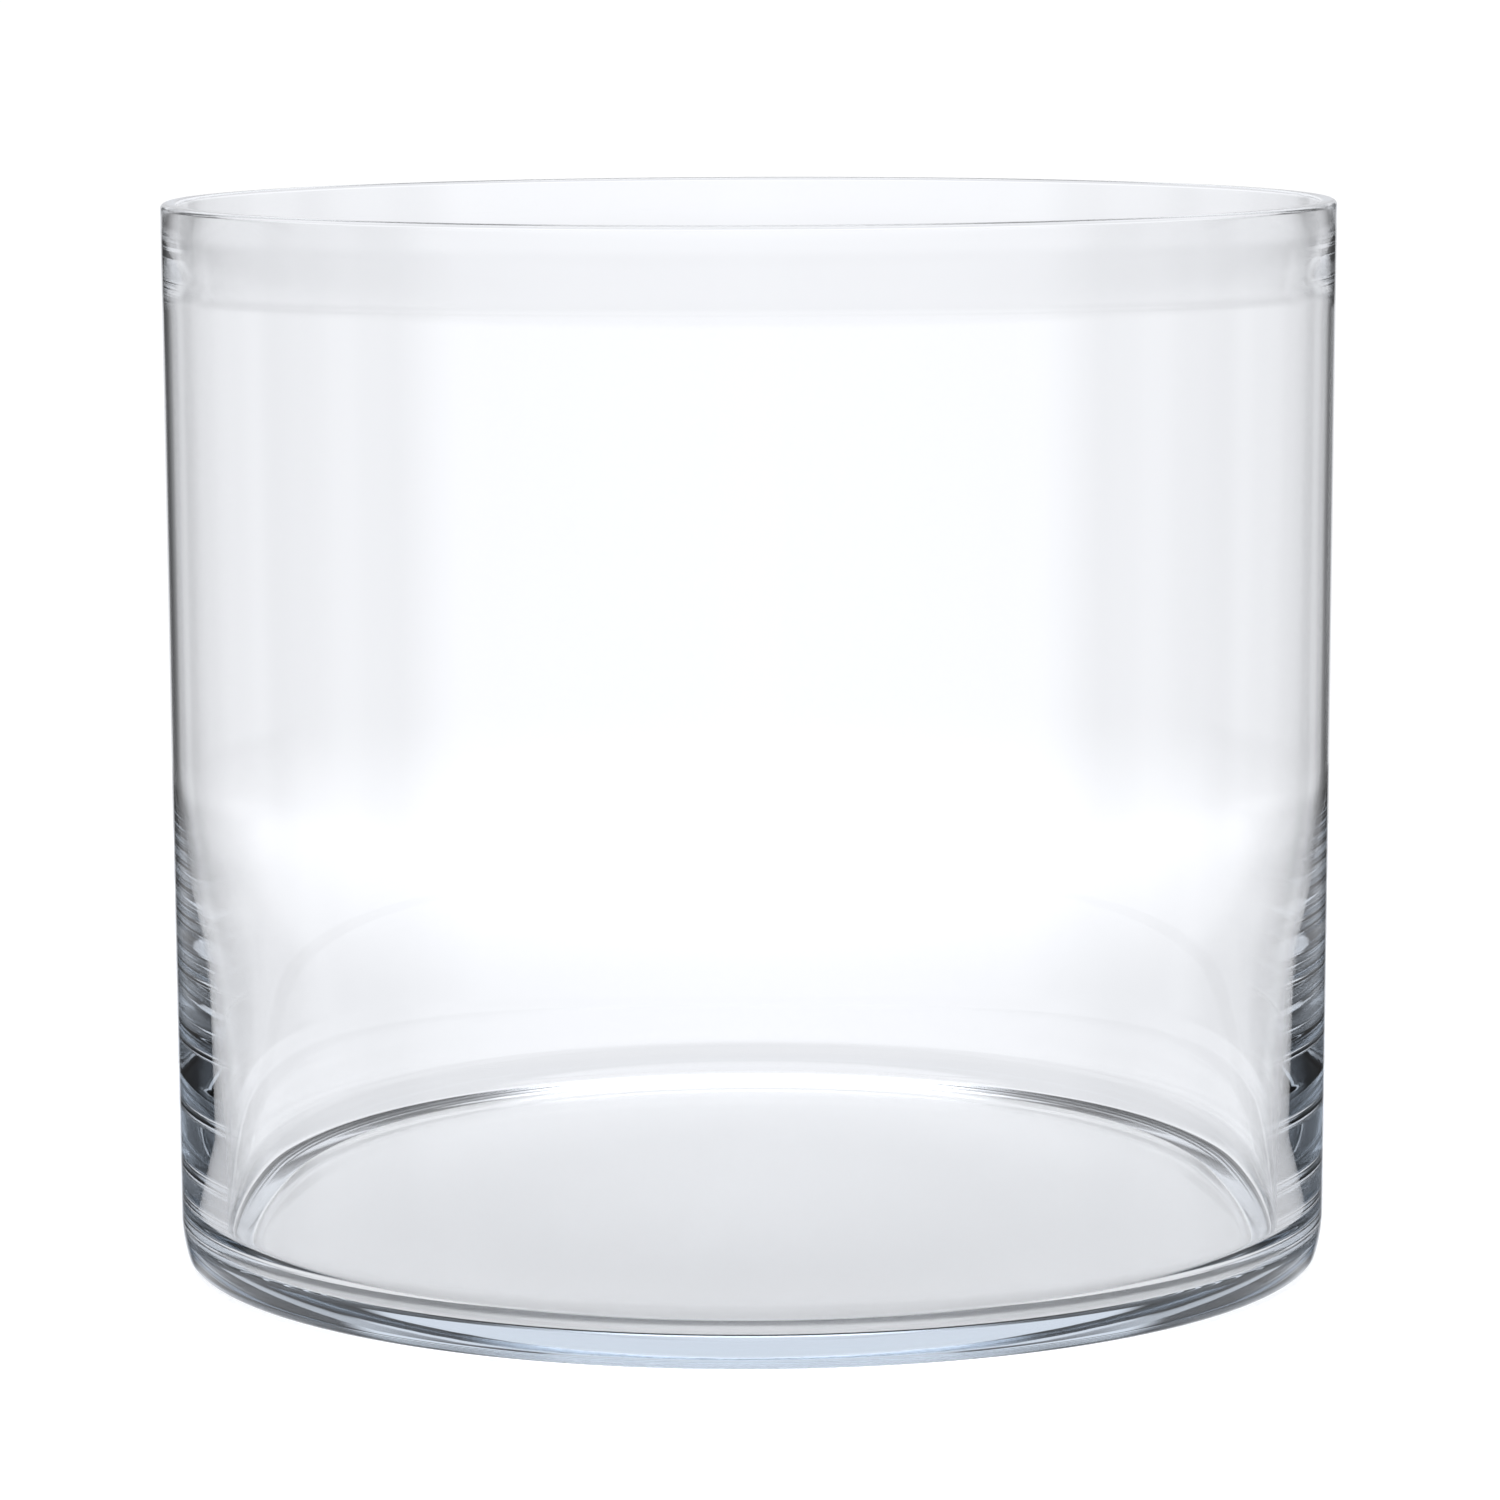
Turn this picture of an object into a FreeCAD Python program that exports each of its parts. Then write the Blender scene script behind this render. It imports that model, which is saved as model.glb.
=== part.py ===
"""Glass cylinder vase.

One piece of clear, mould-blown glass: a wide straight cylinder with a polished rim, a thin
wall, a thick heel that swells smoothly out of the wall, and a heavy flat floor.

Frame: millimetres, +Z up, origin at the centre of the flat face that the vase stands on.
Both profiles are half sections in the XZ plane, turned once round the Z axis.
"""
import FreeCAD, Part
import math
import os

import Sketcher
from FreeCAD import Vector

NODE = "glass_vessel"

# Driving dimensions, in millimetres: alias, value, what it is.
SIZES = [
    ("rim_diameter", 220.0, "outside diameter at the rim"),
    ("lower_diameter", 217.8, "outside diameter where the side meets the heel"),
    ("total_height", 200.0, "resting face to top of rim"),
    ("heel_height", 9.6, "height at which the rounded heel meets the side"),
    ("heel_radius", 30.0, "large radius of the outer heel, tangent to the side"),
    ("toe_radius", 2.6, "small radius of the outer heel, tangent to the base"),
    ("wall_thickness", 1.6, "glass thickness of the side"),
    ("swell_start", 97.0, "height at which the inside starts to swell inwards"),
    ("swell_radius", 350.0, "hollow radius at the top of the swell"),
    ("slope_top", 64.0, "height at which the swell runs into its straight slope"),
    ("slope_foot", 29.0, "height at which the straight slope ends"),
    ("shoulder_radius", 420.0, "rounded radius from the slope down to the inner corner"),
    ("floor_thickness", 4.8, "glass thickness of the floor"),
    ("corner_radius", 7.5, "inner radius between floor and side"),
    ("flare_start", 180.0, "height at which the wall starts to thicken to the rim"),
    ("flare_radius", 50.0, "hollow radius where the thickening starts"),
    ("crown_radius", 90.0, "rounded radius from there up to the upright mouth"),
    ("rim_outer_round", 1.0, "polished outer edge of the rim"),
    ("rim_inner_round", 0.6, "polished inner edge of the rim"),
]
VALUE = {alias: value for alias, value, _ in SIZES}


def fill_sheet(doc):
    """Puts every driving dimension in the sheet, as plain numbers with aliases."""
    sheet = doc.addObject("Spreadsheet::Sheet", "Sizes")
    for row, (alias, value, meaning) in enumerate(SIZES, start=1):
        sheet.set(f"A{row}", meaning)
        sheet.set(f"B{row}", str(value))
        sheet.setAlias(f"B{row}", alias)
    doc.recompute()
    return sheet


def origin_plane(body, role):
    """The body's own origin plane with this role."""
    return next(item for item in body.Origin.OriginFeatures if item.Role == role)


def section_sketch(body, name):
    """An empty sketch on the body's XZ plane: sketch x is the radius, sketch y is the height."""
    sketch = body.newObject("Sketcher::SketchObject", name)
    sketch.AttachmentSupport = [(origin_plane(body, "XZ_Plane"), "")]
    sketch.MapMode = "FlatFace"
    return sketch


def add_line(sketch, start, end):
    return sketch.addGeometry(Part.LineSegment(Vector(*start, 0), Vector(*end, 0)), False)


def add_arc(sketch, centre, radius, start_degrees, end_degrees):
    circle = Part.Circle(Vector(*centre, 0), Vector(0, 0, 1), radius)
    arc = Part.ArcOfCircle(circle, math.radians(start_degrees), math.radians(end_degrees))
    return sketch.addGeometry(arc, False)


def constrain(sketch, kind, *arguments):
    return sketch.addConstraint(Sketcher.Constraint(kind, *arguments))


def drive(sketch, name, expression, kind, *arguments):
    """Adds a named dimension and binds it to the sheet."""
    index = constrain(sketch, kind, *arguments)
    sketch.renameConstraint(index, name)
    sketch.setExpression(f"Constraints.{name}", expression)


def outside_sketch(body):
    """Half section of the solid outside: base, toe, heel, side, top and axis."""
    size = VALUE
    rim = size["rim_diameter"] / 2
    lower = size["lower_diameter"] / 2
    height = size["total_height"]
    heel_top = size["heel_height"]
    heel = size["heel_radius"]
    toe = size["toe_radius"]
    rise = heel_top - toe
    run = math.sqrt((heel - toe) ** 2 - rise ** 2)
    toe_centre = (lower - heel + run, toe)
    joint = -math.degrees(math.atan2(rise, run))

    sketch = section_sketch(body, "OutsideSection")
    base = add_line(sketch, (0, 0), (toe_centre[0], 0))
    toe_arc = add_arc(sketch, toe_centre, toe, -90, joint)
    heel_arc = add_arc(sketch, (lower - heel, heel_top), heel, joint, 0)
    side = add_line(sketch, (lower, heel_top), (rim, height))
    top = add_line(sketch, (rim, height), (0, height))
    axis = add_line(sketch, (0, height), (0, 0))

    constrain(sketch, "Coincident", base, 1, -1, 1)
    constrain(sketch, "Horizontal", base)
    constrain(sketch, "Tangent", base, 2, toe_arc, 1)
    constrain(sketch, "Tangent", toe_arc, 2, heel_arc, 1)
    constrain(sketch, "Tangent", heel_arc, 2, side, 1)
    constrain(sketch, "Coincident", side, 2, top, 1)
    constrain(sketch, "Horizontal", top)
    constrain(sketch, "Coincident", top, 2, axis, 1)
    constrain(sketch, "Vertical", axis)
    constrain(sketch, "Coincident", axis, 2, base, 1)

    drive(sketch, "rim_radius", "Sizes.rim_diameter / 2", "DistanceX", -1, 1, side, 2, rim)
    drive(sketch, "top_height", "Sizes.total_height", "DistanceY", -1, 1, side, 2, height)
    drive(sketch, "lower_radius", "Sizes.lower_diameter / 2", "DistanceX", -1, 1, side, 1, lower)
    drive(sketch, "heel_top", "Sizes.heel_height", "DistanceY", -1, 1, side, 1, heel_top)
    drive(sketch, "heel_round", "Sizes.heel_radius", "Radius", heel_arc, heel)
    drive(sketch, "toe_round", "Sizes.toe_radius", "Radius", toe_arc, toe)
    return sketch


def hollow_sketch(body):
    """Half section of the hollow, from the floor up to the mouth and back down the axis."""
    size = VALUE
    height = size["total_height"]
    heel_top = size["heel_height"]
    floor = size["floor_thickness"]
    corner = size["corner_radius"]
    swell = size["swell_radius"]
    shoulder = size["shoulder_radius"]
    swell_top = size["swell_start"]
    slope_top = size["slope_top"]
    slope_foot = size["slope_foot"]
    flare = size["flare_radius"]
    crown = size["crown_radius"]
    flare_foot = size["flare_start"]
    rim = size["rim_diameter"] / 2
    lower = size["lower_diameter"] / 2
    draft = (rim - lower) / (height - heel_top)
    thin = lower + draft * (swell_top - heel_top) - size["wall_thickness"]
    lean = math.asin((swell_top - slope_top) / swell)
    upper = thin - swell * (1 - math.cos(lean))
    lower_end = upper - (slope_top - slope_foot) * math.tan(lean)
    shoulder_centre = (lower_end + shoulder * math.cos(lean), slope_foot - shoulder * math.sin(lean))
    tilt = math.asin((floor + corner - shoulder_centre[1]) / (shoulder + corner))
    corner_centre = (shoulder_centre[0] - (shoulder + corner) * math.cos(tilt), floor + corner)
    lean_degrees = math.degrees(lean)
    tilt_degrees = math.degrees(tilt)
    thin_top = thin + draft * (flare_foot - swell_top)
    turn = math.asin((height - flare_foot) / (flare + crown))
    turn_degrees = math.degrees(turn)
    crown_centre = (thin_top - flare + (flare + crown) * math.cos(turn), height)
    mouth = crown_centre[0] - crown

    sketch = section_sketch(body, "HollowSection")
    floor_line = add_line(sketch, (0, floor), (corner_centre[0], floor))
    corner_arc = add_arc(sketch, corner_centre, corner, -90, -tilt_degrees)
    shoulder_arc = add_arc(sketch, shoulder_centre, shoulder, 180 - lean_degrees, 180 - tilt_degrees)
    slope = add_line(sketch, (lower_end, slope_foot), (upper, slope_top))
    swell_arc = add_arc(sketch, (thin - swell, swell_top), swell, -lean_degrees, 0)
    side = add_line(sketch, (thin, swell_top), (thin_top, flare_foot))
    flare_arc = add_arc(sketch, (thin_top - flare, flare_foot), flare, 0, turn_degrees)
    crown_arc = add_arc(sketch, crown_centre, crown, 180, 180 + turn_degrees)
    mouth_line = add_line(sketch, (mouth, height), (0, height))
    axis = add_line(sketch, (0, height), (0, floor))
    guide = add_line(sketch, (lower, heel_top), (rim, height))
    sketch.toggleConstruction(guide)

    constrain(sketch, "Horizontal", floor_line)
    constrain(sketch, "Tangent", floor_line, 2, corner_arc, 1)
    constrain(sketch, "Tangent", corner_arc, 2, shoulder_arc, 2)
    constrain(sketch, "Tangent", shoulder_arc, 1, slope, 1)
    constrain(sketch, "Tangent", slope, 2, swell_arc, 1)
    constrain(sketch, "Tangent", swell_arc, 2, side, 1)
    constrain(sketch, "Tangent", side, 2, flare_arc, 1)
    constrain(sketch, "Tangent", flare_arc, 2, crown_arc, 2)
    constrain(sketch, "Coincident", crown_arc, 1, mouth_line, 1)
    constrain(sketch, "Horizontal", mouth_line)
    constrain(sketch, "Coincident", mouth_line, 2, axis, 1)
    constrain(sketch, "PointOnObject", axis, 1, -2)
    constrain(sketch, "Vertical", axis)
    constrain(sketch, "Coincident", axis, 2, floor_line, 1)
    constrain(sketch, "Parallel", side, guide)

    drive(sketch, "guide_lower_x", "Sizes.lower_diameter / 2", "DistanceX", -1, 1, guide, 1, lower)
    drive(sketch, "guide_lower_y", "Sizes.heel_height", "DistanceY", -1, 1, guide, 1, heel_top)
    drive(sketch, "guide_upper_x", "Sizes.rim_diameter / 2", "DistanceX", -1, 1, guide, 2, rim)
    drive(sketch, "guide_upper_y", "Sizes.total_height", "DistanceY", -1, 1, guide, 2, height)
    drive(sketch, "wall", "Sizes.wall_thickness", "Distance", side, 1, guide, size["wall_thickness"])
    drive(sketch, "swell_top", "Sizes.swell_start", "DistanceY", -1, 1, side, 1, swell_top)
    drive(sketch, "swell_round", "Sizes.swell_radius", "Radius", swell_arc, swell)
    drive(sketch, "slope_upper", "Sizes.slope_top", "DistanceY", -1, 1, slope, 2, slope_top)
    drive(sketch, "slope_lower", "Sizes.slope_foot", "DistanceY", -1, 1, slope, 1, slope_foot)
    drive(sketch, "shoulder_round", "Sizes.shoulder_radius", "Radius", shoulder_arc, shoulder)
    drive(sketch, "floor_height", "Sizes.floor_thickness", "DistanceY", -1, 1, floor_line, 1, floor)
    drive(sketch, "corner_round", "Sizes.corner_radius", "Radius", corner_arc, corner)
    drive(sketch, "flare_foot", "Sizes.flare_start", "DistanceY", -1, 1, side, 2, flare_foot)
    drive(sketch, "flare_round", "Sizes.flare_radius", "Radius", flare_arc, flare)
    drive(sketch, "crown_round", "Sizes.crown_radius", "Radius", crown_arc, crown)
    drive(sketch, "crown_level", "Sizes.total_height", "DistanceY", -1, 1, crown_arc, 3, height)
    drive(sketch, "mouth_height", "Sizes.total_height", "DistanceY", -1, 1, mouth_line, 1, height)
    return sketch


def revolve(body, kind, name, sketch):
    """A full turn of the section round the sketch's vertical axis."""
    feature = body.newObject(kind, name)
    feature.Profile = sketch
    feature.ReferenceAxis = (sketch, ["V_Axis"])
    feature.Angle = 360
    sketch.Visibility = False
    return feature


def rim_edges(shape, height):
    """Names of the outer and the inner circular edge in the plane of the rim."""
    found = []
    for index, edge in enumerate(shape.Edges, start=1):
        box = edge.BoundBox
        if box.ZMin > height - 0.01 and box.XLength > 0:
            found.append((box.XLength, f"Edge{index}"))
    found.sort()
    return found[-1][1], found[0][1]


def round_edge(body, name, base, edge, alias):
    fillet = body.newObject("PartDesign::Fillet", name)
    fillet.Base = (base, [edge])
    fillet.Radius = VALUE[alias]
    fillet.setExpression("Radius", f"Sizes.{alias}")
    return fillet


def glass_vessel(doc):
    """The vase: a solid of revolution, hollowed, with both rim edges polished round."""
    body = doc.addObject("PartDesign::Body", "GlassVessel")
    body.Label = NODE
    body.Placement = FreeCAD.Placement()

    solid = revolve(body, "PartDesign::Revolution", "OutsideTurned", outside_sketch(body))
    doc.recompute()
    solid_volume = solid.Shape.Volume

    hollow = revolve(body, "PartDesign::Groove", "HollowTurned", hollow_sketch(body))
    doc.recompute()
    if hollow.Shape.Volume > 0.5 * solid_volume:
        raise RuntimeError("the hollow has removed too little glass")

    outer_edge, _ = rim_edges(hollow.Shape, VALUE["total_height"])
    outer_round = round_edge(body, "RimOuterEdge", hollow, outer_edge, "rim_outer_round")
    doc.recompute()
    _, inner_edge = rim_edges(outer_round.Shape, VALUE["total_height"])
    round_edge(body, "RimInnerEdge", outer_round, inner_edge, "rim_inner_round")
    doc.recompute()
    return body


def check(doc, bodies):
    """Stops if any object failed or any sub-part has no valid single solid."""
    for item in doc.Objects:
        if "Invalid" in item.State or "Error" in item.State:
            raise RuntimeError(f"{item.Name} failed: {item.State}")
        if item.isDerivedFrom("Sketcher::SketchObject") and not item.FullyConstrained:
            raise RuntimeError(f"{item.Name} is not fully constrained")
    for body in bodies:
        shape = body.Shape
        if shape.isNull() or not shape.isValid() or len(shape.Solids) != 1:
            raise RuntimeError(f"{body.Label} has no valid solid")


def main():
    doc = FreeCAD.newDocument("GlassCylinderVase")
    fill_sheet(doc)
    bodies = [glass_vessel(doc)]
    check(doc, bodies)
    os.makedirs("parts", exist_ok=True)
    for body in bodies:
        body.Shape.exportStep(f"parts/{body.Label}.step")
        box = body.Shape.optimalBoundingBox(False)
        print(body.Label, f"{box.XLength:.2f} x {box.YLength:.2f} x {box.ZLength:.2f} mm",
              f"volume {body.Shape.Volume / 1000:.1f} cm3")


main()
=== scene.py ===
"""Looks of the glass cylinder vase: one lathe-turned glass mesh, a plain floor and soft light.

Metres, +Z up, origin at the centre of the face that the vase stands on.
"""
import math

import bpy
from mathutils import Matrix, Vector


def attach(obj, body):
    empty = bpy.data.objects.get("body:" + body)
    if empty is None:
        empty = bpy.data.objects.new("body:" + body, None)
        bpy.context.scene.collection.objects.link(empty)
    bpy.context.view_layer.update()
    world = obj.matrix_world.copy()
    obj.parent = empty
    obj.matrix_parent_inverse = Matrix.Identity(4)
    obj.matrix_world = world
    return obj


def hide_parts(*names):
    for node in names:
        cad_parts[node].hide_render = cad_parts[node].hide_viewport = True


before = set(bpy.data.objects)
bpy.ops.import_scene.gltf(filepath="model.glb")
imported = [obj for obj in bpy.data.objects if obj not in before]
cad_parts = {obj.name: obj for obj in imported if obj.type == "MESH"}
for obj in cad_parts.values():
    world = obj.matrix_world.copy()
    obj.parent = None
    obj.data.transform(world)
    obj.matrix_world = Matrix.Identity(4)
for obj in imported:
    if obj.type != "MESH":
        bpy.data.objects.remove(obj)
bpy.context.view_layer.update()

MM = 0.001

# Half section of the glass, in millimetres.
RIM_RADIUS = 110.0
LOWER_RADIUS = 108.9
HEIGHT = 200.0
HEEL_HEIGHT = 9.6
HEEL_RADIUS = 30.0
TOE_RADIUS = 2.6
WALL = 1.6
SWELL_START = 97.0
SWELL_RADIUS = 350.0
SLOPE_TOP = 64.0
SLOPE_FOOT = 29.0
SHOULDER_RADIUS = 420.0
FLOOR = 4.8
CORNER_RADIUS = 7.5
FLARE_START = 180.0
FLARE_RADIUS = 50.0
CROWN_RADIUS = 90.0
RIM_OUTER_ROUND = 1.0
RIM_INNER_ROUND = 0.6
SEGMENTS = 384


# ---------------------------------------------------------------- glass shape

def arc(centre, radius, start, end, steps):
    """Points of an arc, angles in degrees, both ends included."""
    points = []
    for step in range(steps + 1):
        angle = math.radians(start + (end - start) * step / steps)
        points.append((centre[0] + radius * math.cos(angle), centre[1] + radius * math.sin(angle)))
    return points


def line(start, end, steps):
    """Points along a line, both ends included."""
    return [
        (start[0] + (end[0] - start[0]) * step / steps, start[1] + (end[1] - start[1]) * step / steps)
        for step in range(steps + 1)
    ]


def joined(*runs):
    """One list of points from runs that share their end points."""
    points = list(runs[0])
    for run in runs[1:]:
        points.extend(run[1:])
    return points


def outside_profile():
    """From the axis under the base to the outer edge of the rim."""
    rise = HEEL_HEIGHT - TOE_RADIUS
    run = math.sqrt((HEEL_RADIUS - TOE_RADIUS) ** 2 - rise ** 2)
    toe_centre = (LOWER_RADIUS - HEEL_RADIUS + run, TOE_RADIUS)
    joint = -math.degrees(math.atan2(rise, run))
    lean = math.degrees(math.atan2(RIM_RADIUS - LOWER_RADIUS, HEIGHT - HEEL_HEIGHT))
    edge_centre = (RIM_RADIUS - RIM_OUTER_ROUND, HEIGHT - RIM_OUTER_ROUND)
    base = line((0, 0), (toe_centre[0], 0), 10)
    toe = arc(toe_centre, TOE_RADIUS, -90, joint, 10)
    heel = arc((LOWER_RADIUS - HEEL_RADIUS, HEEL_HEIGHT), HEEL_RADIUS, joint, 0, 14)
    edge = arc(edge_centre, RIM_OUTER_ROUND, -lean, 90, 8)
    side = line(heel[-1], edge[0], 30)
    return joined(base, toe, heel, side, edge)


def inside_profile():
    """From the inner edge of the rim down to the axis on the floor."""
    draft = (RIM_RADIUS - LOWER_RADIUS) / (HEIGHT - HEEL_HEIGHT)
    thin = LOWER_RADIUS + draft * (SWELL_START - HEEL_HEIGHT) - WALL
    thin_top = thin + draft * (FLARE_START - SWELL_START)
    flare_centre = (thin_top - FLARE_RADIUS, FLARE_START + FLARE_RADIUS * draft)
    both = FLARE_RADIUS + CROWN_RADIUS
    turn = math.asin((HEIGHT - flare_centre[1]) / both)
    crown_centre = (flare_centre[0] + both * math.cos(turn), HEIGHT)
    crown_start = 180 + math.degrees(RIM_INNER_ROUND / CROWN_RADIUS)
    turn = math.degrees(turn)
    crown = arc(crown_centre, CROWN_RADIUS, crown_start, 180 + turn, 14)
    flare = arc(flare_centre, FLARE_RADIUS, turn, -math.degrees(draft), 10)
    edge_centre = (crown[0][0] + RIM_INNER_ROUND, HEIGHT - RIM_INNER_ROUND)
    edge = arc(edge_centre, RIM_INNER_ROUND, 90, 180, 8)

    lean = math.asin((SWELL_START - SLOPE_TOP) / SWELL_RADIUS)
    upper = thin - SWELL_RADIUS * (1 - math.cos(lean))
    foot = upper - (SLOPE_TOP - SLOPE_FOOT) * math.tan(lean)
    shoulder_centre = (
        foot + SHOULDER_RADIUS * math.cos(lean),
        SLOPE_FOOT - SHOULDER_RADIUS * math.sin(lean),
    )
    reach = SHOULDER_RADIUS + CORNER_RADIUS
    tilt = math.asin((FLOOR + CORNER_RADIUS - shoulder_centre[1]) / reach)
    corner_centre = (shoulder_centre[0] - reach * math.cos(tilt), FLOOR + CORNER_RADIUS)
    lean = math.degrees(lean)
    tilt = math.degrees(tilt)

    side = line((thin_top, FLARE_START), (thin, SWELL_START), 14)
    swell = arc((thin - SWELL_RADIUS, SWELL_START), SWELL_RADIUS, 0, -lean, 18)
    slope = line((upper, SLOPE_TOP), (foot, SLOPE_FOOT), 14)
    shoulder = arc(shoulder_centre, SHOULDER_RADIUS, 180 - lean, 180 - tilt, 12)
    corner = arc(corner_centre, CORNER_RADIUS, -tilt, -90, 26)
    floor = line(corner[-1], (0, FLOOR), 12)
    return joined(edge, crown, flare, side, swell, slope, shoulder, corner, floor)


def turned_mesh(name, profile):
    """Turns the half section round the axis into a closed mesh with outward normals."""
    vertices = []
    rings = []
    for radius, height in profile:
        first = len(vertices)
        if radius < 1e-6:
            vertices.append((0.0, 0.0, height * MM))
            rings.append([first] * SEGMENTS)
            continue
        for segment in range(SEGMENTS):
            angle = 2 * math.pi * segment / SEGMENTS
            x = radius * math.cos(angle) * MM
            y = radius * math.sin(angle) * MM
            vertices.append((x, y, height * MM))
        rings.append(list(range(first, first + SEGMENTS)))
    faces = []
    for low, high in zip(rings[:-1], rings[1:]):
        for segment in range(SEGMENTS):
            after = (segment + 1) % SEGMENTS
            face = (low[segment], low[after], high[after], high[segment])
            faces.append(tuple(dict.fromkeys(face)))
    mesh = bpy.data.meshes.new(name)
    mesh.from_pydata(vertices, [], faces)
    mesh.shade_smooth()
    mesh.update()
    return mesh


def glass_vase(material):
    """The one piece: outside, flat ring of the rim and inside, turned in one go."""
    outside = outside_profile()
    inside = inside_profile()
    ring = line(outside[-1], inside[0], 3)
    mesh = turned_mesh("vase_glass", joined(outside, ring, inside))
    mesh.materials.append(material)
    vase = bpy.data.objects.new("vase_glass", mesh)
    bpy.context.scene.collection.objects.link(vase)
    return vase


# ---------------------------------------------------------------- node helpers

class Nodes:
    """A short way to add and link shader nodes in one tree."""

    def __init__(self, tree):
        self.tree = tree
        tree.nodes.clear()

    def add(self, kind, **settings):
        node = self.tree.nodes.new(kind)
        for key, value in settings.items():
            setattr(node, key, value)
        return node

    def feed(self, socket, value):
        if isinstance(value, bpy.types.NodeSocket):
            self.tree.links.new(value, socket)
        else:
            socket.default_value = value

    def math(self, operation, a, b=0.0):
        node = self.add("ShaderNodeMath", operation=operation)
        self.feed(node.inputs[0], a)
        self.feed(node.inputs[1], b)
        return node.outputs[0]

    def step(self, value, low, high, at_low=0.0, at_high=1.0):
        """A smooth step from at_low to at_high while value goes from low to high."""
        node = self.add("ShaderNodeMapRange", interpolation_type="SMOOTHSTEP")
        names = ("Value", "From Min", "From Max", "To Min", "To Max")
        for name, number in zip(names, (value, low, high, at_low, at_high)):
            self.feed(node.inputs[name], number)
        return node.outputs[0]

    def blend(self, factor, a, b):
        """Mixes two numbers."""
        node = self.add("ShaderNodeMix", data_type="FLOAT")
        self.feed(node.inputs[0], factor)
        self.feed(node.inputs[2], a)
        self.feed(node.inputs[3], b)
        return node.outputs[0]

    def both(self, a, b):
        """The overlap of two masks."""
        return self.math("MULTIPLY", a, b)


# ---------------------------------------------------------------- materials

GLASS_IOR = 1.515
GLASS_TINT = (0.76, 0.82, 0.88, 1)
TINT_DENSITY = 8.0
RELIEF_DEPTH = 0.02 * MM

# Distances from the axis over which the painted glow of the board grows and ends.
PAINTED_GLOW_GROWS = (45.0 * MM, 92.0 * MM)
PAINTED_GLOW_ENDS = (98.5 * MM, 101.0 * MM)


def noise(nodes, place, stretch, scale, detail):
    """Smooth noise over a place that is stretched first."""
    mapping = nodes.add("ShaderNodeMapping")
    nodes.feed(mapping.inputs["Vector"], place)
    mapping.inputs["Scale"].default_value = stretch
    texture = nodes.add("ShaderNodeTexNoise")
    texture.inputs["Scale"].default_value = scale
    texture.inputs["Detail"].default_value = detail
    nodes.feed(texture.inputs["Vector"], mapping.outputs[0])
    return texture.outputs["Fac"]


def glass_relief(nodes, place):
    """Upright cords, mostly in the thin wall, and level laps, mostly in the heel."""
    cords = noise(nodes, place, (1.0, 1.0, 0.12), 55.0, 2.0)
    laps = noise(nodes, place, (0.18, 0.18, 1.0), 28.0, 1.0)
    split = nodes.add("ShaderNodeSeparateXYZ")
    nodes.feed(split.inputs[0], place)
    height = split.outputs[2]
    cords_weight = nodes.step(height, 0.05, 0.11, 0.25, 1.0)
    laps_weight = nodes.step(height, 0.02, 0.10, 0.5, 0.12)
    relief = nodes.math(
        "ADD",
        nodes.math("MULTIPLY", cords, cords_weight),
        nodes.math("MULTIPLY", laps, laps_weight),
    )
    bump = nodes.add("ShaderNodeBump")
    bump.inputs["Strength"].default_value = 1.0
    bump.inputs["Distance"].default_value = RELIEF_DEPTH
    nodes.feed(bump.inputs["Height"], relief)
    return bump.outputs[0]


def glass_material():
    """Clear glass, faintly blue in its thickness, with the slight unevenness of a moulded wall."""
    material = bpy.data.materials.new("clear_glass")
    material.use_nodes = True
    nodes = Nodes(material.node_tree)
    output = nodes.add("ShaderNodeOutputMaterial")
    shader = nodes.add("ShaderNodeBsdfPrincipled")
    shader.inputs["Base Color"].default_value = (1, 1, 1, 1)
    shader.inputs["Transmission Weight"].default_value = 1.0
    shader.inputs["IOR"].default_value = GLASS_IOR
    nodes.feed(output.inputs["Surface"], shader.outputs[0])

    place = nodes.add("ShaderNodeTexCoord").outputs["Object"]
    nodes.feed(shader.inputs["Normal"], glass_relief(nodes, place))
    smudge = nodes.add("ShaderNodeTexNoise")
    smudge.inputs["Scale"].default_value = 18.0
    nodes.feed(smudge.inputs["Vector"], place)
    nodes.feed(shader.inputs["Roughness"], nodes.step(smudge.outputs["Fac"], 0.35, 0.75, 0.0, 0.012))

    tint = nodes.add("ShaderNodeVolumeAbsorption")
    tint.inputs["Color"].default_value = GLASS_TINT
    tint.inputs["Density"].default_value = TINT_DENSITY
    nodes.feed(output.inputs["Volume"], tint.outputs[0])
    return material


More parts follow.
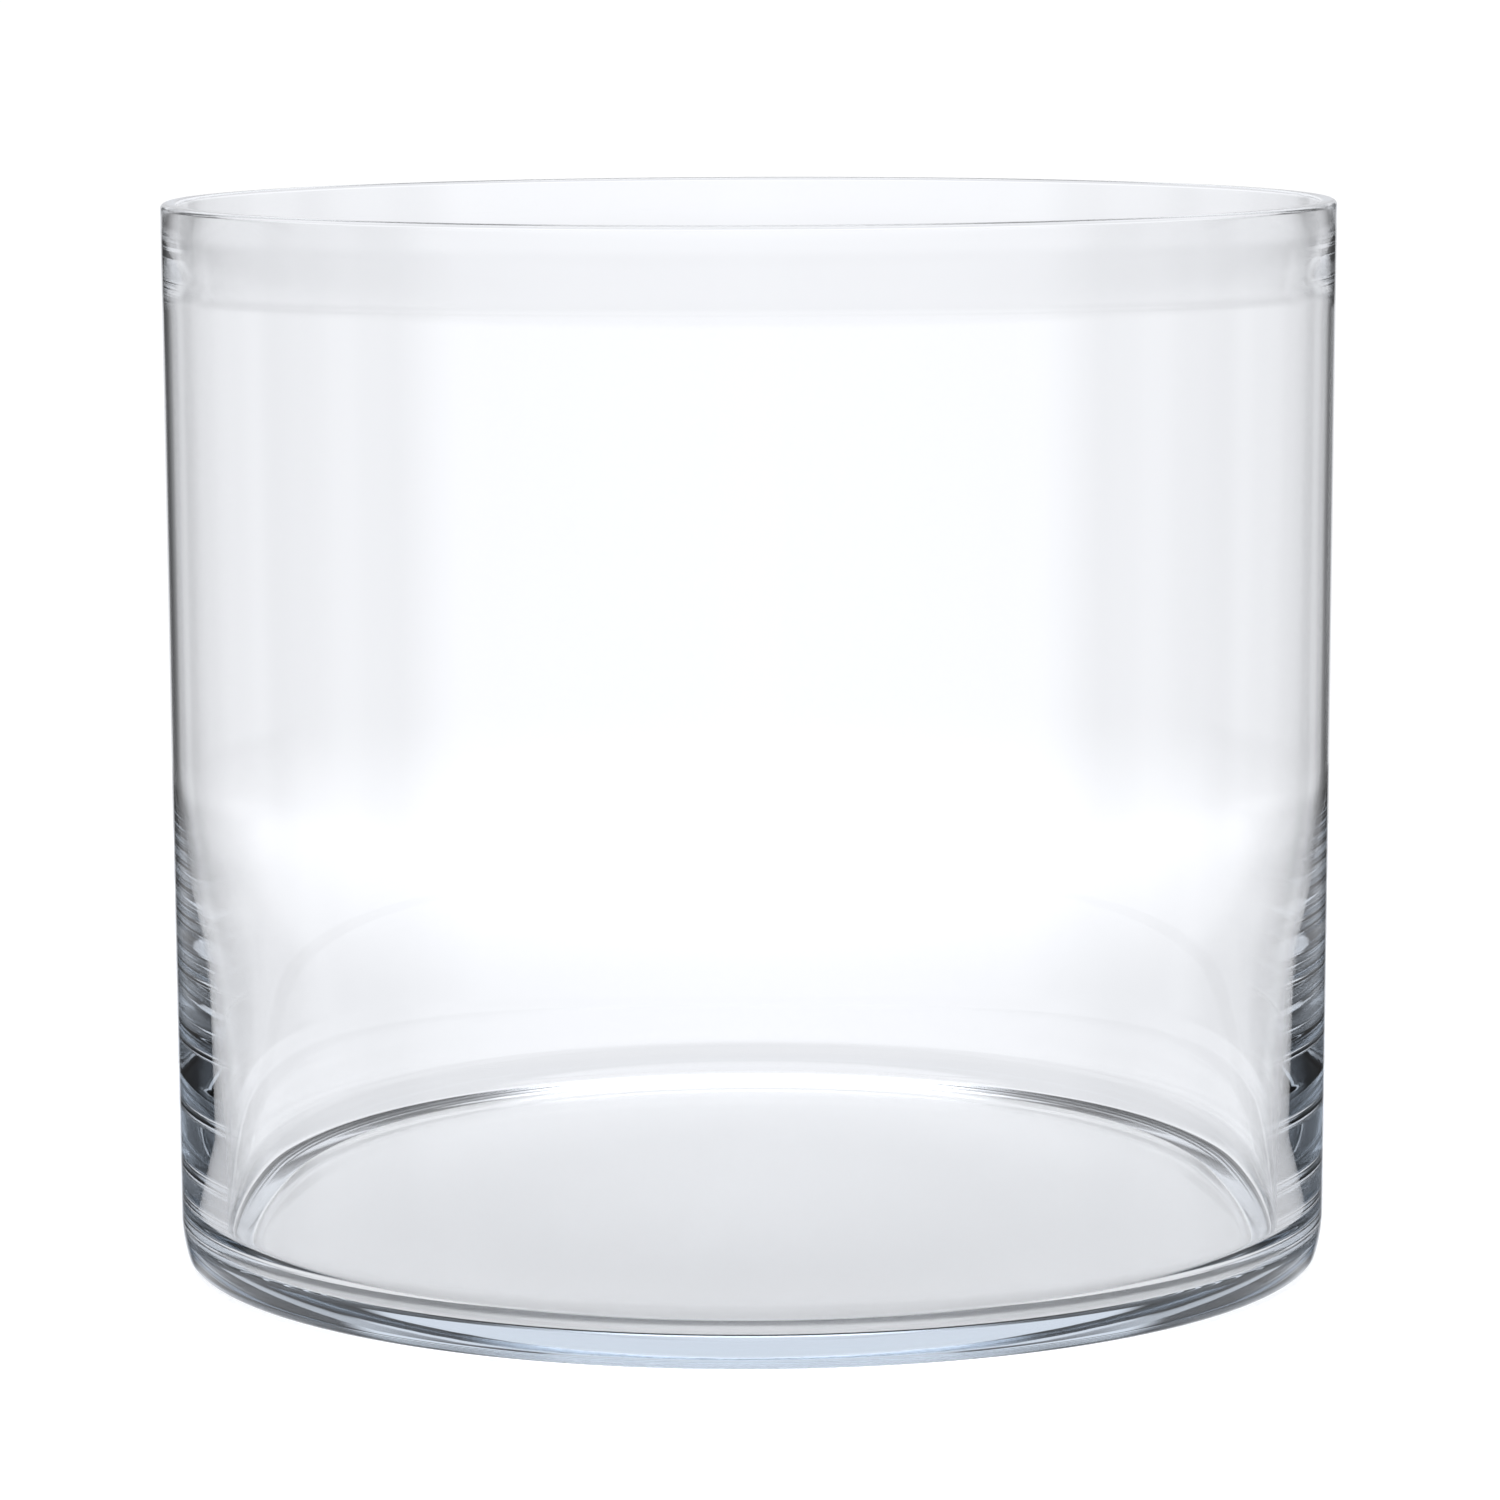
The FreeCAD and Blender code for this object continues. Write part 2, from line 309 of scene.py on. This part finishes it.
def floor_material(name, pale, front, back, edge, past):
    """Matt off-white board with a very fine grain and a painted glow, as if lit a little through from
    below.

    The painted glow goes from front to back across the vase, and grows by edge towards the rim of its
    underside. Past that rim it is multiplied by past.
    """
    material = bpy.data.materials.new(name)
    material.use_nodes = True
    nodes = Nodes(material.node_tree)
    output = nodes.add("ShaderNodeOutputMaterial")
    shader = nodes.add("ShaderNodeBsdfPrincipled")
    nodes.feed(output.inputs["Surface"], shader.outputs[0])
    place = nodes.add("ShaderNodeTexCoord").outputs["Object"]
    grain = nodes.add("ShaderNodeTexNoise")
    grain.inputs["Scale"].default_value = 900.0
    nodes.feed(grain.inputs["Vector"], place)
    ramp = nodes.add("ShaderNodeValToRGB")
    ramp.color_ramp.elements[0].color = (pale - 0.02, pale - 0.01, pale, 1)
    ramp.color_ramp.elements[1].color = (pale + 0.02, pale + 0.03, pale + 0.04, 1)
    nodes.feed(ramp.inputs[0], grain.outputs["Fac"])
    nodes.feed(shader.inputs["Base Color"], ramp.outputs[0])
    shader.inputs["Roughness"].default_value = 0.75
    shader.inputs["Emission Color"].default_value = (0.97, 0.98, 1, 1)
    split = nodes.add("ShaderNodeSeparateXYZ")
    nodes.feed(split.inputs[0], place)
    away = nodes.add("ShaderNodeVectorMath", operation="LENGTH")
    nodes.feed(away.inputs[0], place)
    # Painted glow: emission standing in for light, brighter towards the back and towards the rim of
    # the underside, and multiplied by past beyond that rim.
    painted_glow = nodes.step(split.outputs[1], -0.10, 0.10, front, back)
    painted_glow = nodes.math("ADD", painted_glow, nodes.step(away.outputs["Value"], *PAINTED_GLOW_GROWS, 0.0, edge))
    painted_glow = nodes.math("MULTIPLY", painted_glow, nodes.step(away.outputs["Value"], *PAINTED_GLOW_ENDS, 1.0, past))
    nodes.feed(shader.inputs["Emission Strength"], painted_glow)
    return material


# ---------------------------------------------------------------- studio

FLOOR_RADIUS = 600.0 * MM
STAND_RADIUS = 104.5 * MM

# Brightness of the studio at eye level against the angle from straight behind the vase.
STUDIO = (
    (0, 1.0), (3, 0.97), (5, 0.92), (8, 0.87), (11, 0.80), (13, 0.52), (15, 0.08), (18, 0.10),
    (24, 0.34), (30, 0.60), (40, 0.66), (50, 0.79), (60, 0.92), (68, 0.90), (76, 0.62), (84, 0.90),
    (90, 0.98), (96, 0.92), (104, 0.65), (112, 1.0), (120, 1.35), (180, 1.35),
)
BRIGHTEST = 2.5


def eye_level(nodes, around):
    """Brightness at eye level, which STUDIO lists."""
    curve = nodes.add("ShaderNodeFloatCurve")
    points = curve.mapping.curves[0].points
    while len(points) < len(STUDIO):
        points.new(0.5, 0.5)
    for point, (angle, value) in zip(points, STUDIO):
        point.location = (angle / 180, value / BRIGHTEST)
        point.handle_type = "AUTO_CLAMPED"
    curve.mapping.update()
    nodes.feed(curve.inputs["Value"], nodes.math("DIVIDE", around, 180))
    return nodes.math("MULTIPLY", curve.outputs[0], BRIGHTEST)


def studio_walls(nodes, around, up):
    """Brightness over the table: a lit panel behind, dark flags beside it, a bright front."""
    level = eye_level(nodes, around)
    back_half = nodes.step(around, 110, 150, 1.0, 0.0)
    panel = nodes.step(around, 12, 15.5, 1.0, 0.0)

    # Away from the panel, only a strip at eye level is lit.
    bottom = nodes.math("MAXIMUM", nodes.step(up, -10.5, -8.5), nodes.step(around, 55, 75))
    strip = nodes.both(bottom, nodes.step(up, 3, 8, 1.0, 0.0))
    shade = nodes.both(nodes.math("SUBTRACT", 1.0, strip), nodes.math("SUBTRACT", 1.0, panel))
    level = nodes.blend(shade, level, nodes.blend(back_half, 0.3, 0.04))

    # The panel is brighter at its foot and very slightly dimmer over the horizon.
    foot = nodes.both(panel, nodes.step(up, -12, -7, 1.0, 0.0))
    level = nodes.blend(foot, level, 1.15)
    dimmed = nodes.step(up, -2.5, 1.5, 1.0, nodes.blend(panel, 1.0, 0.98))
    level = nodes.math("MULTIPLY", level, dimmed)

    # A pale backdrop over the panel, with a dark edge beside its top.
    backdrop = nodes.both(nodes.step(up, 3, 8), nodes.step(around, 28, 34, 1.0, 0.0))
    level = nodes.blend(backdrop, level, 1.0)
    crest = nodes.both(nodes.step(up, 24, 30), nodes.step(around, 20, 26))
    level = nodes.blend(nodes.both(crest, back_half), level, 0.05)

    # One softbox overhead and one leaning back over the backdrop.
    leaning = nodes.both(nodes.step(up, 42, 50), nodes.step(around, 12, 20, 1.0, 0.0))
    softbox = nodes.math("MAXIMUM", leaning, nodes.step(up, 58, 66))
    return nodes.blend(softbox, level, 2.4)


def studio_table(nodes, around, up):
    """Brightness under the horizon: a pale table with a dark flag low on each side of the panel."""
    sides = nodes.math(
        "ADD", nodes.step(around, 5, 9, 0.0, 0.06), nodes.step(around, 8, 14, 0.0, 0.14)
    )
    behind = nodes.math("ADD", nodes.step(up, -18, -11.5, 0.88, 1.12), sides)
    front = nodes.step(around, 90, 126, 0.88, 1.05)
    level = nodes.blend(nodes.step(around, 20, 40), behind, front)
    flag = nodes.both(nodes.step(around, 10, 20), nodes.step(around, 55, 75, 1.0, 0.0))
    flag = nodes.both(flag, nodes.step(up, -18, -14))
    level = nodes.blend(flag, level, 0.04)
    return nodes.math("MULTIPLY", level, nodes.step(up, -52, -36, 0.06, 1.0))


def studio_world():
    """Soft studio light by direction, and plain white where the camera looks straight at it."""
    world = bpy.data.worlds.new("studio")
    world.use_nodes = True
    bpy.context.scene.world = world
    nodes = Nodes(world.node_tree)
    output = nodes.add("ShaderNodeOutputWorld")
    background = nodes.add("ShaderNodeBackground")
    nodes.feed(output.inputs["Surface"], background.outputs[0])

    # Degrees from straight behind the vase, and degrees over the horizon.
    way = nodes.add("ShaderNodeTexCoord").outputs["Generated"]
    split = nodes.add("ShaderNodeSeparateXYZ")
    nodes.feed(split.inputs[0], way)
    side = nodes.math("ABSOLUTE", split.outputs[0])
    around = nodes.math("MULTIPLY", nodes.math("ARCTAN2", side, split.outputs[1]), 180 / math.pi)
    up = nodes.math("MULTIPLY", nodes.math("ARCSINE", split.outputs[2]), 180 / math.pi)

    low = nodes.step(up, -14, -10, 1.0, 0.0)
    level = nodes.blend(low, studio_walls(nodes, around, up), studio_table(nodes, around, up))
    seen = nodes.add("ShaderNodeLightPath").outputs["Is Camera Ray"]
    tone = nodes.add("ShaderNodeMix", data_type="RGBA")
    nodes.feed(tone.inputs[0], seen)
    tone.inputs[6].default_value = (0.955, 0.967, 1.0, 1)
    tone.inputs[7].default_value = (1, 1, 1, 1)
    nodes.feed(background.inputs["Color"], tone.outputs[2])
    nodes.feed(background.inputs["Strength"], nodes.blend(seen, level, 1.05))


def disc(name, radius, height, material):
    """A round of board that belongs to the studio and not to the part."""
    bpy.ops.mesh.primitive_circle_add(vertices=128, radius=radius, fill_type="NGON")
    item = bpy.context.object
    item.name = name
    item.location = (0, 0, height)
    item.data.materials.append(material)
    return item


def studio_floor():
    """A pale board, and a round under the vase, the only part of it that shows in the glass."""
    # The round under the vase has a slightly darker colour than the board round it, which is painted
    # shade under the vase. It also has a painted glow, brighter at the back and towards the rim of
    # its underside, that stops under the heel.
    under = floor_material("floor_under_vase", 0.78, front=0.17, back=0.43, edge=0.14, past=0.0)
    disc("floor_under_vase", STAND_RADIUS, -0.2 * MM, under)
    # The board round it glows evenly all over.
    around = floor_material("studio_floor", 0.84, front=0.80, back=0.80, edge=0.0, past=1.0)
    board = disc("studio_floor", FLOOR_RADIUS, -0.4 * MM, around)
    board.visible_transmission = False
    board.visible_glossy = False


def photo_camera():
    """The camera at the photograph's angle: distance, height, downward pitch and slight roll."""
    distance = 1.1907
    height = 0.2495
    aside = -0.0001
    pitch = math.radians(7.358)
    roll = math.radians(0.2057)
    forward = Vector((0, math.cos(pitch), -math.sin(pitch)))
    right = Vector((1, 0, 0))
    down = forward.cross(right)
    across = math.cos(roll) * right + math.sin(roll) * down
    below = math.cos(roll) * down - math.sin(roll) * right
    place = Matrix((across, -below, -forward)).transposed().to_4x4()
    place.translation = Vector((aside, -distance, height))
    data = bpy.data.cameras.new("camera")
    data.sensor_width = 36.0
    data.lens = 151.86
    data.clip_start = 0.01
    data.clip_end = 50.0
    camera = bpy.data.objects.new("camera", data)
    camera.matrix_world = place
    bpy.context.scene.collection.objects.link(camera)
    bpy.context.scene.camera = camera


def light_paths():
    """Enough bounces for light that runs round inside the thick heel, and plain tones."""
    scene = bpy.context.scene
    scene.view_settings.view_transform = "Standard"
    cycles = scene.cycles
    cycles.max_bounces = 48
    cycles.transmission_bounces = 48
    cycles.glossy_bounces = 32
    cycles.diffuse_bounces = 6
    cycles.caustics_reflective = True
    cycles.caustics_refractive = True
    cycles.use_denoising = True


vase = glass_vase(glass_material())
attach(vase, "root")
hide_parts("glass_vessel")
studio_world()
studio_floor()
photo_camera()
light_paths()
